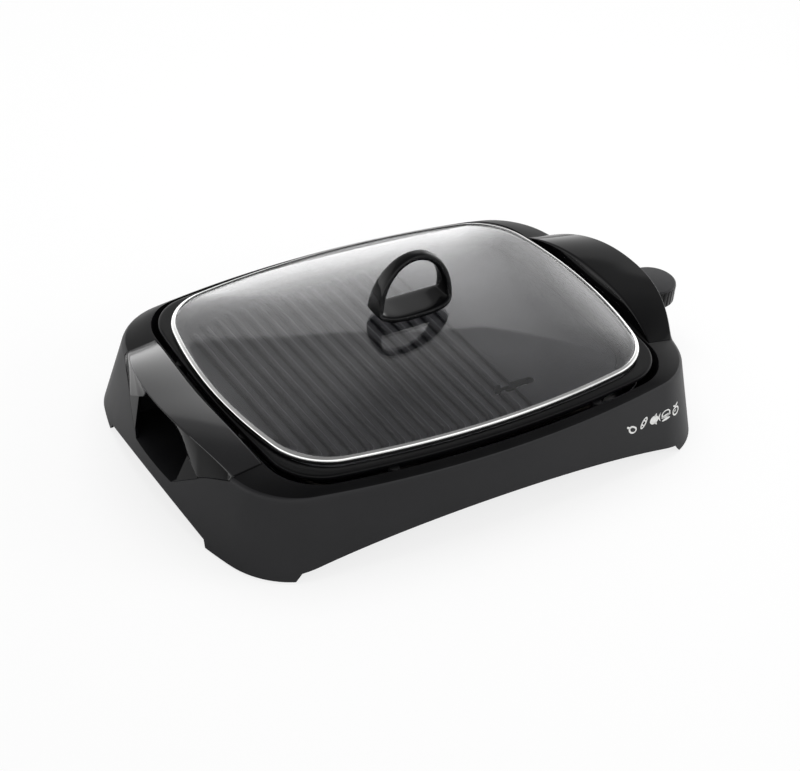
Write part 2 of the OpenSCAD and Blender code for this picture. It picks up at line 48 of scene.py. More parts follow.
def bowed(length, width, bow, side=16, corner=16):
    """Rounded rectangle whose ends and sides are shallow arcs. bow is end bow, side bow, corner radius."""
    end_bow, side_bow, r = bow
    ax = length / 2 - r - end_bow
    by = width / 2 - r - side_bow
    rx = (by * by + end_bow * end_bow) / (2 * end_bow)
    ry = (ax * ax + side_bow * side_bow) / (2 * side_bow)
    tx = asin(by / rx)
    ty = asin(ax / ry)
    cx = ax + end_bow - rx
    cy = by + side_bow - ry
    end = [tx * i / side for i in range(side + 1)]
    bend = [tx + (pi / 2 - ty - tx) * i / corner for i in range(1, corner)]
    flank = [ty * i / side for i in range(side, -1, -1)]
    quarter = ([(cx + (rx + r) * cos(t), (rx + r) * sin(t)) for t in end]
               + [(ax + r * cos(t), by + r * sin(t)) for t in bend]
               + [((ry + r) * sin(t), cy + (ry + r) * cos(t)) for t in flank])
    return (quarter + [(-x, y) for x, y in quarter[-2::-1]] + [(-x, -y) for x, y in quarter[1:]]
            + [(x, -y) for x, y in quarter[-2:0:-1]])


def inset(length, width, bow, d):
    """The same outline moved in by d all round."""
    return bowed(length - 2 * d, width - 2 * d, (bow[0], bow[1], max(bow[2] - d, 2)))


def mix(a, b, t):
    """The outline that lies a share t of the way from a to b."""
    return [tuple(u * (1 - t) + v * t for u, v in zip(p, q)) for p, q in zip(a, b)]


def at_z(outline, z):
    return [(x, y, z) for x, y in outline]


def bowed_at(z, length, width, bow):
    return at_z(bowed(length, width, bow), z)


def scaled(outline, k, z):
    return [(x * k, y * k, z) for x, y in outline]


def rounding(a, b, c, steps=5):
    """Rings that turn from a to c round the corner b."""
    return [mix(mix(a, b, i / steps), mix(b, c, i / steps), i / steps) for i in range(steps + 1)]


def turn(a, b, c, steps=5):
    """Points that turn from a to c round the corner b."""
    return [ring[0] for ring in rounding([a], [b], [c], steps)]


def fillet(a, b, c, reach, steps=4, most=0.45):
    """Points that round the corner b of a section, from reach before it, or a share of a short side."""
    a, b, c = Vector(a), Vector(b), Vector(c)
    p = b + (a - b).normalized() * min(reach, (a - b).length * most)
    q = b + (c - b).normalized() * min(reach, (c - b).length * most)
    return [p.lerp(b, i / steps).lerp(b.lerp(q, i / steps), i / steps) for i in range(steps + 1)]


def rounded_section(points, reaches):
    """A closed section with each corner rounded by its own reach."""
    n = len(points)
    out = []
    for i in range(n):
        out += fillet(points[i - 1], points[i], points[(i + 1) % n], reaches[i])
    return out


# Solids

def loft(rings, closed=False):
    """A skin over rings of points, made by extruding the first ring's edges from ring to ring.

    It has a cap at each end, or runs on from the last ring to the first where it is closed.
    """
    bm = bmesh.new()
    if closed:
        rings = rings + [rings[0]]
    row = [bm.verts.new(p) for p in rings[0]]
    edges = [bm.edges.new((row[i - 1], row[i])) for i in range(len(row))]
    if not closed:
        bm.faces.new(row)
    for points in rings[1:]:
        made = bmesh.ops.extrude_edge_only(bm, edges=edges)["geom"]
        new = {v for v in made if isinstance(v, bmesh.types.BMVert)}
        row = [next(e.other_vert(v) for e in v.link_edges if e.other_vert(v) in new) for v in row]
        edges = [e for e in made if isinstance(e, bmesh.types.BMEdge) and new.issuperset(e.verts)]
        for v, p in zip(row, points):
            v.co = p
    if closed:
        bmesh.ops.remove_doubles(bm, verts=bm.verts, dist=1e-4)
    else:
        bm.faces.new(row)
    bmesh.ops.recalc_face_normals(bm, faces=bm.faces)
    return bm


def block(low, high):
    bm = bmesh.new()
    bmesh.ops.create_cube(bm, size=1)
    low, high = Vector(low), Vector(high)
    bmesh.ops.scale(bm, vec=high - low, verts=bm.verts)
    bmesh.ops.translate(bm, vec=(low + high) / 2, verts=bm.verts)
    return bm


def rod(centre, radius, low, high, segments=64):
    """Upright cylinder."""
    bm = bmesh.new()
    bmesh.ops.create_cone(bm, cap_ends=True, segments=segments, radius1=radius, radius2=radius,
                          depth=high - low)
    bmesh.ops.translate(bm, vec=(centre[0], centre[1], (low + high) / 2), verts=bm.verts)
    return bm


def prism(profile, low, high, axis):
    """A profile drawn in the plane across an axis and stretched along it from low to high."""
    place = "XYZ".index(axis)
    return loft([[(*p[:place], end, *p[place:]) for p in profile] for end in (low, high)])


def turned(profile, segments=96):
    """A profile of radius and height spun into a closed solid about the middle's upright axis."""
    bm = bmesh.new()
    row = [bm.verts.new((r, 0, z)) for r, z in profile]
    edges = [bm.edges.new((row[i], row[i + 1])) for i in range(len(row) - 1)]
    bmesh.ops.spin(bm, geom=row + edges, cent=(0, 0, 0), axis=(0, 0, 1), angle=2 * pi, steps=segments,
                   use_merge=True)
    bmesh.ops.remove_doubles(bm, verts=bm.verts, dist=1e-4)
    bmesh.ops.recalc_face_normals(bm, faces=bm.faces)
    return bm


def mirrored(bm, axis=0):
    """The solid's mirror image across the middle, along X or, with axis 1, along Y."""
    twin = bm.copy()
    factor = [1, 1, 1]
    factor[axis] = -1
    bmesh.ops.scale(twin, vec=factor, verts=twin.verts)
    bmesh.ops.reverse_faces(twin, faces=twin.faces)
    return twin


def together(*solids):
    """One bmesh that holds all these solids."""
    whole = bmesh.new()
    for bm in solids:
        mesh = bpy.data.meshes.new("part")
        bm.to_mesh(mesh)
        whole.from_mesh(mesh)
        bpy.data.meshes.remove(mesh)
    return whole


def both_ends(bm):
    """A solid at the grill's right end, and its twin at the left."""
    return together(bm, mirrored(bm))


def all_corners(bm):
    pair = both_ends(bm)
    return together(pair, mirrored(pair, 1))


def stand(bm, name):
    """A mesh object of the bmesh, in the scene."""
    mesh = bpy.data.meshes.new(name)
    bm.to_mesh(mesh)
    thing = bpy.data.objects.new(name, mesh)
    bpy.context.scene.collection.objects.link(thing)
    return thing


def carve(bm, tool, how="DIFFERENCE"):
    """The solid with the tool cut out of it, added to it, or shared with it."""
    work = stand(bm, "work")
    cutter = stand(tool, "cutter")
    step = work.modifiers.new("carve", "BOOLEAN")
    step.operation = how
    step.object = cutter
    step.solver = "MANIFOLD"
    bpy.context.view_layer.update()
    result = bmesh.new()
    result.from_mesh(work.evaluated_get(bpy.context.evaluated_depsgraph_get()).to_mesh())
    for thing in (work, cutter):
        mesh = thing.data
        bpy.data.objects.remove(thing)
        bpy.data.meshes.remove(mesh)
    return result


def joined(*solids):
    """One solid from several that overlap."""
    whole = solids[0]
    for bm in solids[1:]:
        whole = carve(whole, bm, "UNION")
    return whole


def finish_piece(bm, name, body, material, instead_of=(), sharp=32, second=None, where=None):
    """Puts a solid in the frame as a piece that rides on its body.

    Edges stay sharp from an angle in degrees. Faces that pass the test where get the second material.
    """
    bmesh.ops.translate(bm, vec=(BASE_X, 0, 0), verts=bm.verts)
    bmesh.ops.scale(bm, vec=(MM, MM, MM), verts=bm.verts)
    piece = stand(bm, name)
    bm.free()
    mesh = piece.data
    mesh.shade_smooth()
    mesh.set_sharp_from_angle(angle=radians(sharp))
    mesh.materials.append(material)
    if second:
        mesh.materials.append(second)
        for face in mesh.polygons:
            face.material_index = int(where(face))
    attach(piece, body)
    if instead_of:
        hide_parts(*instead_of)


def above(z):
    """A test for the faces whose middle lies above a height."""
    return lambda face: face.center.z > z * MM


# Materials

def srgb(code):
    """Linear colour of an sRGB hex value."""
    parts = [int(code[i:i + 2], 16) / 255 for i in (1, 3, 5)]
    return tuple(c / 12.92 if c <= 0.04045 else ((c + 0.055) / 1.055) ** 2.4 for c in parts) + (1.0,)


def add(tree, kind, inputs=None, stops=(), **settings):
    """Adds a node, sets it up with its ramp's stops, and fills its inputs with values or other sockets."""
    made = tree.nodes.new(kind)
    for key, value in settings.items():
        setattr(made, key, value)
    for i, (place, colour) in enumerate(stops):
        marks = made.color_ramp.elements
        mark = marks[i] if i < len(marks) else marks.new(place)
        mark.position = place
        mark.color = colour
    for key, value in (inputs or {}).items():
        if isinstance(value, bpy.types.NodeSocket):
            tree.links.new(value, made.inputs[key])
        else:
            made.inputs[key].default_value = value
    return made


def blank(holder):
    """The emptied node tree of a new material or world."""
    holder.use_nodes = True
    holder.node_tree.nodes.clear()
    return holder.node_tree


def surface(name, dark, light, blotch_mm, rough, grain_mm, relief_mm, stretch=(1, 1, 1), **sockets):
    """Two close colours in soft blotches, a roughness that follows them, and a fine grain in relief.

    Other sockets of the shader are given by name, with _ for a space.
    """
    material = bpy.data.materials.new(name)
    tree = blank(material)
    spot = add(tree, "ShaderNodeTexCoord").outputs["Object"]
    spot = add(tree, "ShaderNodeMapping", {"Vector": spot, "Scale": stretch}).outputs["Vector"]
    blotch = add(tree, "ShaderNodeTexNoise", {"Vector": spot, "Scale": 1 / (blotch_mm * MM),
                                              "Detail": 3.0, "Roughness": 0.55}).outputs["Fac"]
    tone = add(tree, "ShaderNodeValToRGB", {"Fac": blotch}, stops=[(0.35, srgb(dark)), (0.65, srgb(light))])
    sheen = add(tree, "ShaderNodeMapRange",
                {"Value": blotch, "From Min": 0.3, "From Max": 0.7, "To Min": rough[0], "To Max": rough[1]})
    grain = add(tree, "ShaderNodeTexNoise", {"Vector": spot, "Scale": 1 / (grain_mm * MM),
                                             "Detail": 2.0, "Roughness": 0.5}).outputs["Fac"]
    relief = add(tree, "ShaderNodeBump", {"Height": grain, "Distance": relief_mm * MM, "Strength": 1.0})
    named = {socket.replace("_", " "): value for socket, value in sockets.items()}
    body = add(tree, "ShaderNodeBsdfPrincipled",
               {"Base Color": tone.outputs["Color"], "Roughness": sheen.outputs["Result"],
                "Normal": relief.outputs["Normal"], **named})
    add(tree, "ShaderNodeOutputMaterial", {"Surface": body.outputs["BSDF"]})
    return material


# Spark-eroded black polypropylene: a soft, even sheen with a grain that is only just seen
moulded_black = surface("moulded_black_polypropylene", "#141416", "#18181a",
                        blotch_mm=60, rough=(0.42, 0.48), grain_mm=1.6, relief_mm=0.012,
                        IOR=1.49, Specular_IOR_Level=0.25)
# Painted shade: a near-black with almost no gloss on the base's ledge and the plate's rim,
# standing in for the shade that falls round the lid; takes almost no light
painted_shade_black = surface("black_painted_shade", "#09090a", "#0b0b0c",
                     blotch_mm=40, rough=(0.30, 0.36), grain_mm=1.6, relief_mm=0.008,
                     IOR=1.5, Specular_IOR_Level=0.1)
# Painted shade: a darker copy of the polished black phenolic, on the lid's loop, the right grip and the
# steep
# faces of the left grip and the dial: deeper, with small crisp highlights
painted_shade_phenolic = surface("phenolic_painted_shade", "#060607", "#080809",
                     blotch_mm=45, rough=(0.08, 0.11), grain_mm=9.0, relief_mm=0.008,
                     IOR=1.58, Specular_IOR_Level=0.13)
# Polished black phenolic: near-black with clear reflections and a faint moulding ripple
polished_black = surface("polished_black_phenolic", "#0d0d0f", "#101012",
                         blotch_mm=45, rough=(0.13, 0.17), grain_mm=9.0, relief_mm=0.012,
                         IOR=1.58)
# Reinforced non-stick coating on cast aluminium: charcoal, speckled, satin
nonstick = surface("nonstick_coated_cast_aluminium", "#161618", "#1d1d20",
                   blotch_mm=2.2, rough=(0.28, 0.36), grain_mm=1.1, relief_mm=0.005,
                   IOR=1.40, Specular_IOR_Level=0.3)
# Satin-moulded dark grey nylon of the dial
satin_grey = surface("satin_grey_nylon", "#1e1e20", "#242426",
                     blotch_mm=12, rough=(0.42, 0.48), grain_mm=0.9, relief_mm=0.02,
                     IOR=1.53, Specular_IOR_Level=0.3)
# Polished stainless strip of the lid's band: bright, with soft rolling marks
polished_steel = surface("polished_stainless_strip", "#d4d4d3", "#dededd",
                         blotch_mm=25, rough=(0.10, 0.16), grain_mm=1.5, relief_mm=0.004,
                         Metallic=1.0)
# Cold-rolled stainless of the shield, the clips, the probe and its guide: dull, with a rolling direction
rolled_steel = surface("rolled_stainless_sheet", "#b6b6b6", "#c2c2c1",
                       blotch_mm=18, rough=(0.30, 0.38), grain_mm=1.2, relief_mm=0.006,
                       stretch=(1, 6, 1), Metallic=1.0)
# Pressed aluminium of the drip tray: dull, with a faint rolling direction
pressed_aluminium = surface("pressed_aluminium_sheet", "#b9babb", "#c6c7c8",
                            blotch_mm=22, rough=(0.36, 0.44), grain_mm=1.0, relief_mm=0.01,
                            stretch=(1, 8, 1), Metallic=1.0)
# Nickel alloy sheath of the element: dulled by heat to a brown grey
dulled_sheath = surface("heat_dulled_nickel_sheath", "#4b4744", "#5d5853",
                        blotch_mm=7, rough=(0.42, 0.55), grain_mm=1.4, relief_mm=0.02,
                        Metallic=0.85)
# Zinc-plated screw steel: pale, with a slight blue passivation
plated_zinc = surface("zinc_plated_steel", "#a4a7ad", "#b4b6b8",
                      blotch_mm=3, rough=(0.28, 0.36), grain_mm=0.8, relief_mm=0.006,
                      Metallic=1.0)
# Drawn brass of the contacts: slightly tarnished, drawn along X
drawn_brass = surface("drawn_brass", "#a98a48", "#bd9d57",
                      blotch_mm=4, rough=(0.25, 0.34), grain_mm=0.8, relief_mm=0.006,
                      stretch=(6, 1, 1), Metallic=1.0)
# Unglazed steatite: chalky cream ceramic
steatite = surface("unglazed_steatite", "#cdc6b4", "#d8d2c2",
                   blotch_mm=6, rough=(0.62, 0.70), grain_mm=0.7, relief_mm=0.02,
                   IOR=1.6)
# Black thermoplastic rubber of the feet, the lid's seal and the cord bush: flat, with a pebbled grain
black_rubber = surface("black_thermoplastic_rubber", "#151515", "#1b1b1b",
                       blotch_mm=8, rough=(0.62, 0.72), grain_mm=0.8, relief_mm=0.03,
                       IOR=1.51)
# Unlit red polycarbonate lens: dark red and smooth
red_lens = surface("red_polycarbonate_lens", "#6e0d08", "#7c120b",
                   blotch_mm=3, rough=(0.12, 0.16), grain_mm=1.5, relief_mm=0.01,
                   IOR=1.58)
# White pad-printing ink: flat, with slightly uneven cover
print_white = surface("white_pad_print_ink", "#dcdcda", "#e9e9e7",
                      blotch_mm=2, rough=(0.50, 0.58), grain_mm=0.6, relief_mm=0.01,
                      IOR=1.5)


def toughened_glass():
    """Clear soda-lime glass, toughened: polished, with the slow ripple that bending leaves."""
    ripple_mm, ripple_deep_mm = 45.45, 0.05
    material = bpy.data.materials.new("toughened_soda_lime_glass")
    tree = blank(material)
    spot = add(tree, "ShaderNodeTexCoord").outputs["Object"]
    ripple = add(tree, "ShaderNodeTexNoise",
                 {"Vector": spot, "Scale": 1 / (ripple_mm * MM), "Detail": 1.0}).outputs["Fac"]
    relief = add(tree, "ShaderNodeBump",
                 {"Height": ripple, "Distance": ripple_deep_mm * MM, "Strength": 1.0})
    pane = add(tree, "ShaderNodeBsdfPrincipled",
               {"Base Color": srgb("#f4f4f6"), "Roughness": 0.0, "IOR": 1.52, "Transmission Weight": 1.0,
                "Normal": relief.outputs["Normal"]})
    clear = add(tree, "ShaderNodeBsdfTransparent", {"Color": srgb("#f0f0f2")})
    path = add(tree, "ShaderNodeLightPath")
    either = add(tree, "ShaderNodeMixShader",
                 {"Fac": path.outputs["Is Shadow Ray"], 1: pane.outputs["BSDF"], 2: clear.outputs["BSDF"]})
    add(tree, "ShaderNodeOutputMaterial", {"Surface": either.outputs["Shader"]})
    return material


clear_glass = toughened_glass()

# CAD nodes that keep their shape, by finish
finishes = {
    moulded_black: ("bottom_cover", "control_base", "control_cover"),
    rolled_steel: ("heat_shield", "element_clips", "probe_guide", "probe_rod"),
    pressed_aluminium: ("drip_tray",),
    dulled_sheath: ("heating_element",),
    plated_zinc: ("handle_screws", "cover_screws", "shield_screws", "lid_inner_washer", "lid_screw",
                  "control_screws", "dial_spindle"),
    drawn_brass: ("inlet_pins", "contact_sleeves"),
    steatite: ("shield_standoffs", "inlet_socket", "thermostat_block"),
    black_rubber: ("front_left_foot", "front_right_foot", "back_left_foot", "back_right_foot",
                   "lid_seal", "cord_bush"),
    red_lens: ("indicator_lens",),
}
for finish, names in finishes.items():
    for name in names:
        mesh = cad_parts[name].data
        mesh.materials.clear()
        mesh.materials.append(finish)


# Base moulding

# Outlines: length, width, and end bow, side bow and corner radius
foot = 546, 372, (16.5, 8, 73)
brim = 514, 353, (13.5, 17, 67)
throat = 424, 337, (2.5, 13, 51)
hem_z, brim_z, throat_z = 1.5, 78.5, 84.2
wall = 3
well_z = 27
# Height above which the base's ledge is painted in shade black
ledge_z = 79
crease = bowed(*brim)
mouth = bowed(*throat)
well_middle = inset(*throat, -1.2)
well_outside = inset(*throat, -2.5)

# Posts at one corner of the base: over a foot, at a handle's screw, and the two that carry the plate
foot_post = 222, 132
grip_post = 231, 80
side_rest = 110, 157.5
end_rest = 206.4, 60
rest_z = 83.9

# Handles: half length, lowest point of the outer face, and the cheek beside the finger opening
grip_y = 103
hook_y, hook_z = 67, 57
cheek = (35, 33.3), (41.5, 40), (48, 69.5), (50, 76), (62, 69), (hook_y, hook_z)
# Reach of a prism through the skirt's end wall
end_wall = 215, 315


def skirt_at(z, depth=0):
    """Outline of the skirt at a height, on its face or at a depth in its wall."""
    return at_z(mix(inset(*foot, depth), inset(*brim, depth), z / brim_z), z)


def skirt_end_x(y, z):
    """How far an end of the skirt reaches at depth y and height z."""
    end_and_corner = 33
    points = skirt_at(min(z, brim_z))[:end_and_corner]
    for a, b in zip(points, points[1:]):
        if a[1] <= abs(y) <= b[1]:
            return a[0] + (b[0] - a[0]) * (abs(y) - a[1]) / (b[1] - a[1])


def grip_low(y):
    """Lower edge of a handle's outer face.

    It is drawn in under the middle, deep beside the fingers, and rises along the seam.
    """
    middle_z, seam_rise = 86, 19
    tuck, tuck_y = 5.5, 48
    a = abs(y)
    if a < hook_y:
        z = middle_z - (middle_z - hook_z) * (a / hook_y) ** 1.6
    else:
        z = hook_z + seam_rise * (min(1, (a - hook_y) / (grip_y - hook_y))) ** 0.8
    return skirt_end_x(y, z) - tuck * max(0, 1 - (y / tuck_y) ** 2), y, z


def grip_corners(y, gap=0.0):
    """Section of a handle at depth y: seat, inner top edge, outer top edge, outer bottom edge."""
    seat_x, inner_x, crown_x = 215, 211, 240
    inner_out, crown_out = 12.6, 27
    inner_rise, crown_rise = 13.5, 22.5
    share = min(abs(y), grip_y) / grip_y
    out, rise = 1 - share ** 2, 1 - share ** 3
    x, _, z = grip_low(y)
    return [(seat_x - gap, y, brim_z - gap),
            (inner_x + inner_out * out - gap, y, throat_z + inner_rise * rise),
            (crown_x + crown_out * out, y, brim_z + 1 + crown_rise * rise),
            (x, y, z - gap)]


def grip_pocket():
    """Space for a handle in the base, with a little air round it, open upwards and outwards."""
    gap = 0.3
    clear_x, clear_z = 330, 130
    half = 32
    rings = []
    for i in range(2 * half + 1):
        y = (grip_y + gap) * (i / half - 1)
        seat, inner, _, low = grip_corners(y, gap)
        rings.append([seat, inner, (inner[0], y, clear_z), (clear_x, y, clear_z),
                      (clear_x, y, low[2]), low])
    return loft(rings)


def arch(heel, top, toe, reach, axis):
    """Opening under the skirt: a shallow parabola between its heels, with a slanted leg outside each."""
    half = 24
    curve = [(heel[0] * i / half, heel[1] + (top - heel[1]) * (1 - (i / half) ** 2))
             for i in range(-half, half + 1)]
    return prism([(-toe - 3, -5)] + curve + [(toe + 3, -5)], -reach, reach, axis)


def outer_shell():
    """Skirt, softened brow, ledge and the wall of the well, as one closed section all round."""
    # Where the rounded brow and lip end on the ledge: share of the way in, and height
    brow_share, brow_z = 0.13, 79.24
    lip_share, lip_z = 0.96, 83.97
    brow = rounding(skirt_at(74), at_z(crease, brim_z), at_z(mix(crease, mouth, brow_share), brow_z), 7)
    lip = rounding(at_z(mix(crease, mouth, lip_share), lip_z), at_z(mouth, throat_z), at_z(mouth, 82.8), 4)
    outside = [skirt_at(hem_z), skirt_at(25), skirt_at(50)]
    under_z = brim_z - wall
    inside = [at_z(mouth, well_z), at_z(well_outside, well_z), at_z(well_outside, under_z),
              at_z(inset(*brim, wall), under_z), skirt_at(hem_z, wall)]
    return loft(outside + brow + lip + inside, closed=True)


def inner_ribs():
    """The finger pockets' floors and sides with the handles' bosses, and the foot posts.

    Both are let a little way into the walls around them.
    """
    bite = 1.5
    low, high = 26, 76.3
    ribs = joined(block((205, -150, 30), (300, 150, 33)), block((205, -71.5, 28), (300, -69, 90)),
                  block((205, 69, 28), (300, 71.5, 90)))
    ribs = joined(both_ends(ribs), all_corners(rod(grip_post, 6.5, well_z, 90)))
    space = loft([at_z(well_middle, low), skirt_at(low, bite), skirt_at(high, bite),
                  at_z(well_middle, high)], closed=True)
    ribs = carve(ribs, space, "INTERSECT")
    skirt_space = loft([skirt_at(hem_z, bite), skirt_at(high, bite)])
    return ribs, carve(all_corners(rod(foot_post, 11, 3, 90)), skirt_space, "INTERSECT")


def plate_rests():
    """Posts in the well that the plate's flange rests on, each with a web to the wall."""
    radius, low = 5, 30.2
    return all_corners(together(
        joined(rod(side_rest, radius, low, rest_z), block((108, 157.5, low), (112, 165, 72))),
        joined(rod(end_rest, radius, low, rest_z), block((206.4, 58, low), (213, 62, 72)))))


def post_bores():
    """Bores for the handles' screws and their heads, the feet's stems and the bottom cover's screws."""
    grip_bore = joined(rod(grip_post, 4.4, -1, 40), rod(grip_post, 2.2, 30, 100))
    return all_corners(together(grip_bore, rod(foot_post, 4.05, -1, 14), rod(side_rest, 1.65, 20, 47)))


def base_moulding():
    """The shell with its ribs and posts, less the arches, the handles' seats, the openings and the bores."""
    shell = joined(outer_shell(), *inner_ribs(), plate_rests())
    finger_opening = prism([(-35, 32.97), (35, 32.97), (67.4, 56.7), (63, 99), (-63, 99), (-67.4, 56.7)],
                           *end_wall, "X")
    # The side arches stop at the wall of the well
    well_space = inset(*throat, -2.55)
    side_arches = carve(arch((206, 9), 32, 214, 300, "Y"),
                        joined(block((-300, -150, -10), (300, 150, 60)),
                               loft([at_z(well_space, 26.99), at_z(well_space, 59)])))
    end_arches = arch((92, 8), 21, 97, 400, "X")
    socket_opening = block((208, -27, 39), (220, 27, 66))
    for tool in (side_arches, end_arches, both_ends(grip_pocket()), both_ends(finger_opening),
                 post_bores(), socket_opening):
        shell = carve(shell, tool)
    return shell


# The ledge above ledge_z takes the black of painted shade
finish_piece(base_moulding(), "base_moulding", "base", moulded_black, ["base_shell"],
             second=painted_shade_black, where=above(ledge_z))


# End handles

def grip():
    """An arched cap over the hand opening, with softened edges, and a cheek down each side of it."""
    chamfer, half = 0.9, 36
    inner = [(grip_y - 1.4) * i / half for i in range(-half, half + 1)]
    rings = []
    for y in [-grip_y, chamfer - grip_y] + inner + [grip_y - chamfer, grip_y]:
        ring = rounded_section(grip_corners(y), (0.3, 2.2, 1.6, 1.2))
        if abs(y) == grip_y:
            middle = sum(ring, Vector()) / len(ring)
            ring = [p + (middle - p).normalized() * chamfer for p in ring]
            ring = [Vector((p.x, y, p.z)) for p in ring]
        rings.append(ring)
    end_skin = loft([skirt_at(30), skirt_at(50), skirt_at(77), skirt_at(77, wall), skirt_at(30, wall)],
                    closed=True)
    cheeks = prism(cheek, *end_wall, "X")
    cheeks = carve(end_skin, together(cheeks, mirrored(cheeks, 1)), "INTERSECT")
    bores = [rod((grip_post[0], side * grip_post[1]), 1.95, 50, 80, 32) for side in (1, -1)]
    return carve(joined(loft(rings), cheeks), together(*bores))


def painted_shade_faces(face):
    """A test for the faces painted in shade: side faces, and the bevels along the handles' seams, which draw
    a painted shadow line.
    """
    return abs(face.normal.z) < 0.45 or abs(face.center.y) > (grip_y - 1) * MM


right_grip = grip()
# The left grip's sides and seam bevels and all of the right grip are painted in shade; the left grip's top
# stays polished
finish_piece(mirrored(right_grip), "left_grip", "base", polished_black, ["left_handle"],
             sharp=40, second=painted_shade_phenolic, where=painted_shade_faces)
finish_piece(right_grip, "right_grip", "base", painted_shade_phenolic, ["right_handle"], sharp=40)


# Cooking plate

# Heights of the cooking surface, the flange's underside, the rim's top, and the foot of the painted shade on
# the rim
field_z, flange_z, rim_z, painted_shade_z = 74, 84.2, 88.2, 82
field = bowed(368, 262, (4, 9, 40), 24, 24)
ridge_count, ridge_pitch, first_ridge_x = 15, 15.4, -171.5
smooth_x, smooth_z = 57.5, 77


def pan():
    """The cast body: a shallow pan with a rounded rim round a flat field."""
    flange = bowed(419, 324, (5, 12, 49))
    under = [bowed_at(69, 388, 298, (4, 11, 49)), bowed_at(69.8, 391, 301, (4, 11, 50)),
             bowed_at(83.8, 402, 312, (4, 11, 55)), bowed_at(flange_z, 404, 314, (4, 11, 55))]
    outside = [at_z(flange, flange_z)]
    outside += rounding(at_z(flange, 86.2), at_z(flange, rim_z), bowed_at(rim_z, 413, 318, (5, 12, 46)), 5)
    inside = rounding(bowed_at(rim_z, 398, 308, (4, 11, 54)), bowed_at(rim_z, 394, 304, (4, 11, 52)),
                      bowed_at(86.6, 393.2, 303.2, (4, 11, 52)), 4)
    inside += rounding(bowed_at(77.5, 383, 293, (4, 10, 49)), bowed_at(field_z, 380, 290, (4, 10, 47)),
                       bowed_at(field_z, 374, 284, (4, 10, 44)), 6)
    return loft(under + outside + inside)


def ridge(x, reach):
    """One cast ridge along the plate, round-topped, with ends that ramp down."""
    half = [(0.8, 4.3), (1.9, 4.0), (2.7, 3.1), (3.8, 0.4), (4, -1)]
    profile = [(-u, v) for u, v in half[::-1]] + half
    ramp = [(reach, 0.25), (reach - 1.5, 0.62), (reach - 4, 0.9), (reach - 7, 1.0)]
    rings = []
    for y, s in [(-y, s) for y, s in ramp] + [(0, 1.0)] + ramp[::-1]:
        rings.append([(x + u * (0.7 + 0.3 * s), y, field_z + (v * s if v > 0 else v)) for u, v in profile])
    return loft(rings)


def ridges():
    """A row of ridges that each end 2 mm short of the field's edge."""
    back = [p for p in field if p[1] >= 0]
    row = []
    for i in range(ridge_count):
        x = first_ridge_x + ridge_pitch * i
        _, reach = min(back, key=lambda p: abs(p[0] - x))
        row.append(ridge(x, reach - 2))
    return together(*row)


def smooth_area():
    """The raised flat field beside the ridges, with small cut corners at the drain slot's side."""
    corner = 3
    middle_x = 120
    edge = [p for p in field if p[0] >= 62]
    top = max(y for x, y in edge if x < 70)
    edge.sort(key=lambda p: atan2(p[1], p[0] - middle_x))
    near = [(smooth_x, corner - top), (smooth_x + corner, -top)]
    edge = near + edge + [(x, -y) for x, y in near[::-1]]

    def drawn_in(d, z):
        ring = []
        for x, y in edge:
            dx = x - middle_x
            ring.append((x - copysign(min(d, abs(dx)), dx), y - copysign(min(d, abs(y)), y), z))
        return ring

    side = [drawn_in(0, field_z - 1), drawn_in(0, 75.6)]
    return loft(side + rounding(drawn_in(0, 76.2), drawn_in(0.2, smooth_z), drawn_in(1.2, smooth_z), 3))


def drain_slot():
    """Cutter for a slot with round ends, through the plate near its front."""
    middle_x, middle_y, half, radius = 60, -96, 17, 4.5
    points = []
    for i in range(48):
        t = 2 * pi * i / 48
        points.append((middle_x + copysign(half, cos(t)) + radius * cos(t), middle_y + radius * sin(t)))
    return prism(points, 60, 100, "Z")


cooking_plate = carve(joined(pan(), ridges(), smooth_area()), drain_slot())
# The flange and rim above painted_shade_z take the black of painted shade
finish_piece(cooking_plate, "cooking_plate", "plate", nonstick, ["grill_plate"],
             second=painted_shade_black, where=above(painted_shade_z))


# Lid

lid_length, lid_width = 418, 308
glass_z, glass_rise, glass = 94.2, 26, 4
lid_outline = bowed(lid_length, lid_width, (9, 12, 61))
lid_angles = [atan2(y / lid_width, x / lid_length) for x, y in lid_outline]
lid_oval = [(lid_length / 2 * cos(t), lid_width / 2 * sin(t)) for t in lid_angles]


def dome_z(k):
    """Height of the glass's upper face at a share k of the way out."""
    return glass_z + glass_rise * (1 - k ** 2.4)


def dome_ring(k, drop=0.0):
    """Ring on the dome, an oval near the middle and the lid's outline at the edge."""
    return scaled(mix(lid_oval, lid_outline, 1 - (1 - k * k) ** 2), k, dome_z(k) - drop)


def lid_dome():
    """The bowed glass, with a hole in the middle and a ground, rounded edge."""
    hole_radius, hole_k = 4, 0.02
    flat_k, edge_k = 0.978, 0.986
    steps = [0.06, 0.1, 0.15] + [0.2 + 0.76 * i / 24 for i in range(25)]
    angles = [atan2(y, x) for x, y in lid_oval]
    hole = [(hole_radius * cos(t), hole_radius * sin(t)) for t in angles]
    under = [dome_ring(k, glass) for k in [flat_k] + steps[::-1]]
    bore = [at_z(hole, dome_z(hole_k) - glass), at_z(hole, dome_z(hole_k))]
    over = [dome_ring(k) for k in steps + [flat_k]]
    edge = rounding(dome_ring(flat_k), dome_ring(edge_k, 0.3), dome_ring(edge_k, 2), 3)[1:]
    edge += rounding(dome_ring(edge_k, 2.2), dome_ring(edge_k, 3.8), dome_ring(flat_k, glass), 3)[:-1]
    return loft(under + bore + over + edge, closed=True)


finish_piece(lid_dome(), "lid_dome", "lid", clear_glass, ["lid_glass"], sharp=50)


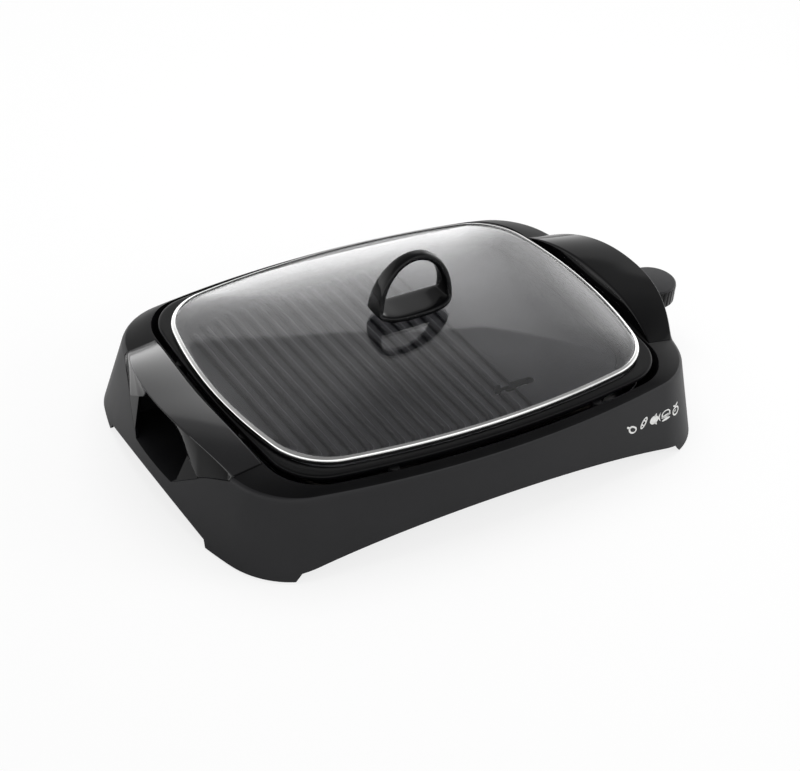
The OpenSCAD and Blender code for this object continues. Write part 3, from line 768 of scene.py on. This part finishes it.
def lid_band():
    """The steel channel folded round the glass: rolled outside, with a lip above and below."""
    outside = turn((0.975, 88.5), (0.992, 88.5), (0.9965, 89.5), 3)
    outside += turn((0.998, 90.4), (1.0006, 92.4), (0.9985, 94.1), 4)
    outside += turn((0.997, 94.9), (0.993, 95.75), (0.985, 95.95), 4)
    lip_k = 0.9805
    outside += [(0.982, dome_z(0.982) + 1.0), (lip_k, dome_z(lip_k) + 0.75), (lip_k, dome_z(lip_k) + 0.3)]
    inside = [(0.99, 94.8), (0.9925, 93.7), (0.9925, 90.2), (0.989, 89.3), (0.975, 89.3)]
    return loft([scaled(lid_outline, k, z) for k, z in outside + inside], closed=True)


finish_piece(lid_band(), "lid_band", "lid", polished_steel, ["lid_rim"], sharp=50)

loop_x, loop_z, loop_rise, loop_dish = 38, 133, 48, 8.4


def loop_path(t):
    """Middle line of the loop: a tall half oval standing on a flatter, squarer one."""
    if sin(t) > 0:
        return Vector((loop_x * cos(t), 0, loop_z + loop_rise * sin(t)))
    squarer = 0.7
    x = loop_x * copysign(abs(cos(t)) ** squarer, cos(t))
    return Vector((x, 0, loop_z - loop_dish * abs(sin(t)) ** squarer))


def lid_loop():
    """Closed band: a slim oval over the fingers, opening out into a broad flat-bottomed dish."""
    half_thick, half_thick_inside = 3.2, 4.4
    half_wide, narrower, wider = 11, 5.5, 7
    rings = []
    for i in range(144):
        t = 2 * pi * i / 144
        s = sin(t)
        middle = loop_path(t)
        along = (loop_path(t + 0.01) - loop_path(t - 0.01)).normalized()
        out = Vector((along.z, 0, -along.x))
        wide = half_wide - (narrower if s > 0 else wider) * s
        square = 0.62 if s > 0 else 0.62 - 0.3 * abs(s)
        ring = []
        for j in range(32):
            a = 2 * pi * (j + 0.5) / 32
            u = copysign(abs(cos(a)) ** square, cos(a))
            v = copysign(abs(sin(a)) ** square, sin(a))
            thick = half_thick if u > 0 or s < 0 else half_thick_inside
            ring.append(middle + out * thick * u + Vector((0, wide * v, 0)))
        rings.append(ring)
    boss = turned([(0, 121.4), (12.2, 121.4), (13, 122.2), (13, 125), (12.5, 126), (0, 126)])
    loop = joined(loft(rings, closed=True), boss)
    return carve(loop, rod((0, 0), 2.55, 119, 126.4, 32))


# The loop takes the darker phenolic copy, painted shade
finish_piece(lid_loop(), "lid_loop", "lid", painted_shade_phenolic, ["lid_handle"], sharp=45)


# Thermostat dial

def dial():
    """Flat-topped dial with fine flutes round its side."""
    dial_x, radius, low, top = 296.5, 25, 51, 70.5
    flutes, flute = 30, 0.8

    def ring(r, z, depth):
        points = []
        for i in range(10 * flutes):
            t = 2 * pi * i / (10 * flutes)
            bite = depth * max(0.0, cos(flutes * t)) ** 2
            points.append((dial_x + (r - bite) * cos(t), (r - bite) * sin(t), z))
        return points

    side = [ring(radius - 1.4, low, 0), ring(radius - 0.5, low + 0.3, 0), ring(radius, low + 1.3, flute),
            ring(radius, top - 3.2, flute), ring(radius, top - 2, flute / 2)]
    face = [ring(radius - 0.4, top - 0.8, 0), ring(radius - 1.2, top - 0.2, 0), ring(radius - 2.2, top, 0)]
    return carve(loft(side + face), rod((dial_x, 0), 2.95, 50, 59, 32))


# The dial's flank takes the darker phenolic copy, painted shade under its lit top
finish_piece(dial(), "thermostat_dial", "dial", satin_grey, ["dial_knob"], sharp=40,
             second=painted_shade_phenolic, where=painted_shade_faces)


# Printed food pictograms on the front of the skirt: plain drawings of our own

def front_wall_y(x, z):
    """Depth of the skirt's front face at a place along it and a height."""
    front = sorted(p for p in skirt_at(z) if p[1] < 0)
    for a, b in zip(front, front[1:]):
        if a[0] <= x <= b[0]:
            return a[1] + (b[1] - a[1]) * (x - a[0]) / (b[0] - a[0])


def printed(name, x, z, shapes):
    """Thin ink shapes on the wall, each one ring of points in mm, or two rings for an outline."""
    under, over = -0.05, 0.12
    here = Vector((x, front_wall_y(x, z), z))
    along = (Vector((x + 1, front_wall_y(x + 1, z), z)) - here).normalized()
    up = (Vector((x, front_wall_y(x, z + 1), z + 1)) - here).normalized()
    out = along.cross(up).normalized()

    def on_wall(ring, height):
        return [here + along * a + up * b + out * height for a, b in ring]

    solids = []
    for outer, *inner in shapes:
        rings = [on_wall(outer, under), on_wall(outer, over)]
        for ring in inner:
            rings += [on_wall(ring, over), on_wall(ring, under)]
        solids.append(loft(rings, closed=bool(inner)))
    finish_piece(together(*solids), name, "base", print_white)


def blob(w, h, x=0.0, y=0.0, tilt=0.0, dent=0.0):
    """Oval with half sizes w and h about a point, tilted, with a dent in its upper side."""
    points = []
    for i in range(32):
        t = 2 * pi * i / 32
        r = 1 - dent * max(0.0, cos(t - pi / 2)) ** 3
        a, b = w * r * cos(t), h * r * sin(t)
        points.append((x + a * cos(tilt) - b * sin(tilt), y + a * sin(tilt) + b * cos(tilt)))
    return points


printed("icon_drumstick", 146.6, 48.6, [
    (blob(5.6, 4.2, 1.0, -0.6, -0.5, 0.2), blob(3.7, 2.3, 1.2, -0.9, -0.5, 0.2)),
    (blob(2.2, 1.1, -4.6, 3.0, -0.6),)])
printed("icon_sausage", 162.2, 49.3, [
    (blob(6.4, 3.0, tilt=0.9), blob(4.9, 1.5, tilt=0.9)),
    (blob(0.7, 2.4, -1.4, -1.8, 0.9),),
    (blob(0.7, 2.4, 1.4, 1.8, 0.9),)])
printed("icon_fish", 176.8, 47.5, [
    (blob(5.6, 4.2, -1.2, tilt=0.05),),
    ([(3.4, 0), (7.4, 4.6), (6.2, 0), (7.4, -4.6)],),
    ([(-2, 3.4), (2.4, 6.0), (2, 3)],),
    ([(-2, -3.4), (2.4, -6.0), (2, -3)],)])
printed("icon_sandwich", 191.7, 46.5, [
    (blob(6.2, 4.0, 0, 1.4, 0.05), blob(4.6, 2.4, 0, 1.9, 0.05)),
    (blob(6.4, 1.5, 0, -0.6, 0.05),),
    (blob(5.6, 1.2, 0, -4.0, 0.05),)])
printed("icon_tomato", 206.5, 45.2, [
    (blob(5.6, 4.8, 0, -0.6, dent=0.2), blob(4.0, 3.2, 0, -0.6, dent=0.2)),
    (blob(3.0, 1.0, 1.4, 4.8, 0.6),),
    (blob(2.6, 0.9, -1.8, 4.6, -0.5),),
    (blob(1.4, 0.7, -1.0, -0.4, 0.6),)])


# Floor, light and camera

def white_paper():
    """Matt white paper. To the camera it mostly glows by itself, so that the grill's shadow stays soft."""
    own_glow = 0.8
    tooth_mm, tooth_deep_mm = 1.111, 0.02
    material = bpy.data.materials.new("white_paper_sweep")
    tree = blank(material)
    spot = add(tree, "ShaderNodeTexCoord").outputs["Object"]
    tooth = add(tree, "ShaderNodeTexNoise",
                {"Vector": spot, "Scale": 1 / (tooth_mm * MM), "Detail": 2.0}).outputs["Fac"]
    relief = add(tree, "ShaderNodeBump", {"Height": tooth, "Distance": tooth_deep_mm * MM})
    paper = add(tree, "ShaderNodeBsdfPrincipled",
                {"Base Color": srgb("#f4f4f4"), "Roughness": 0.9, "Specular IOR Level": 0.1,
                 "Normal": relief.outputs["Normal"]})
    glow = add(tree, "ShaderNodeEmission", {"Color": (1, 1, 1, 1), "Strength": 1.0})
    path = add(tree, "ShaderNodeLightPath")
    share = add(tree, "ShaderNodeMath", {0: path.outputs["Is Camera Ray"], 1: own_glow},
                operation="MULTIPLY")
    seen = add(tree, "ShaderNodeMixShader",
               {"Fac": share.outputs["Value"], 1: paper.outputs["BSDF"], 2: glow.outputs["Emission"]})
    add(tree, "ShaderNodeOutputMaterial", {"Surface": seen.outputs["Shader"]})
    return material


def studio_floor():
    """Wide sheet just under the feet."""
    half, drop = 6, 0.0002
    bm = bmesh.new()
    bmesh.ops.create_grid(bm, x_segments=2, y_segments=2, size=half)
    floor = stand(bm, "studio_floor")
    bm.free()
    floor.data.materials.append(white_paper())
    floor.location.z = -drop


def greys(*stops):
    """Stops of grey for a ramp, from pairs of place and brightness."""
    return [(place, (grey, grey, grey, 1)) for place, grey in stops]


def studio_world():
    """White to the camera. Gloss sees a wall that fades up to a clean edge, and a dark flag at the right."""
    gloss_strength, fill_strength = 2.6, 0.62
    edge, past = 0.625, 0.635
    world = bpy.data.worlds.new("studio")
    tree = blank(world)
    way = add(tree, "ShaderNodeTexCoord").outputs["Generated"]
    way = add(tree, "ShaderNodeSeparateXYZ", {"Vector": way})
    wall_light = add(tree, "ShaderNodeValToRGB", {"Fac": way.outputs["Z"]},
                     stops=greys((0, 1), (0.12, 1), (0.35, 0.67), (0.55, 0.46), (edge, 0.42), (past, 0)))
    roof_light = add(tree, "ShaderNodeValToRGB", {"Fac": way.outputs["Z"]},
                     stops=greys((0, 0), (edge, 0), (past, 0.19), (0.72, 0.21), (0.85, 0.13), (1, 0.1)))
    flag = add(tree, "ShaderNodeValToRGB", {"Fac": way.outputs["X"]},
               stops=greys((0, 1), (0.56, 1), (0.66, 0.52), (0.71, 0.48), (0.79, 1), (1, 1)))
    room = add(tree, "ShaderNodeVectorMath",
               {0: wall_light.outputs["Color"], 1: flag.outputs["Color"], 2: roof_light.outputs["Color"]},
               operation="MULTIPLY_ADD")
    path = add(tree, "ShaderNodeLightPath")
    gloss = add(tree, "ShaderNodeBackground", {"Color": room.outputs["Vector"], "Strength": gloss_strength})
    fill = add(tree, "ShaderNodeBackground", {"Color": (1, 1, 1, 1), "Strength": fill_strength})
    white = add(tree, "ShaderNodeBackground", {"Color": (1, 1, 1, 1), "Strength": 1.0})
    shiny = add(tree, "ShaderNodeMath",
                {0: path.outputs["Is Glossy Ray"], 1: path.outputs["Is Transmission Ray"]},
                operation="MAXIMUM")
    lit = add(tree, "ShaderNodeMixShader",
              {"Fac": shiny.outputs["Value"],
               1: fill.outputs["Background"], 2: gloss.outputs["Background"]})
    seen = add(tree, "ShaderNodeMixShader",
               {"Fac": path.outputs["Is Camera Ray"],
                1: lit.outputs["Shader"], 2: white.outputs["Background"]})
    add(tree, "ShaderNodeOutputWorld", {"Surface": seen.outputs["Shader"]})
    bpy.context.scene.world = world


def softbox(name, place, aim, width, height, power):
    """Area lamp with metres for its place and size. Gloss and glass don't show it."""
    light = bpy.data.lights.new(name, "AREA")
    light.shape = "RECTANGLE"
    light.size = width
    light.size_y = height
    light.energy = power
    lamp = bpy.data.objects.new(name, light)
    lamp.location = place
    lamp.rotation_euler = (Vector(aim) - Vector(place)).to_track_quat("-Z", "Y").to_euler()
    lamp.visible_glossy = False
    lamp.visible_transmission = False
    bpy.context.scene.collection.objects.link(lamp)


def camera():
    """The photograph's angle, with the camera turned a little about its own axis."""
    azimuth, elevation, roll = radians(-35.099), radians(36.177), radians(5.627)
    aim = Vector((BASE_X - 6.344, -6.62, 38.4)) * MM
    distance = 2.038199
    focal_px, photo_px, sensor_mm = 2132.075, 800, 36
    back = Vector((sin(azimuth) * cos(elevation), -cos(azimuth) * cos(elevation), sin(elevation)))
    across = Vector((cos(azimuth), sin(azimuth), 0))
    up = back.cross(across)
    rolled_across = across * cos(roll) + up * sin(roll)
    rolled_up = up * cos(roll) - across * sin(roll)
    lens = bpy.data.cameras.new("camera")
    lens.sensor_fit = "HORIZONTAL"
    lens.sensor_width = sensor_mm
    lens.lens = sensor_mm * focal_px / photo_px
    lens.clip_end = 30
    holder = bpy.data.objects.new("camera", lens)
    turning = Matrix((rolled_across, rolled_up, back)).transposed()
    holder.matrix_world = Matrix.Translation(aim + back * distance) @ turning.to_4x4()
    bpy.context.scene.collection.objects.link(holder)
    bpy.context.scene.camera = holder


studio_floor()
studio_world()
softbox("softbox_overhead", (0.2, 0.5, 1.7), (0, 0, 0.05), 1.4, 1.2, 16)
softbox("softbox_right", (1.6, -1.0, 0.9), (0.1, 0, 0.05), 0.8, 0.8, 9)
camera()
bpy.context.scene.view_settings.view_transform = "Standard"
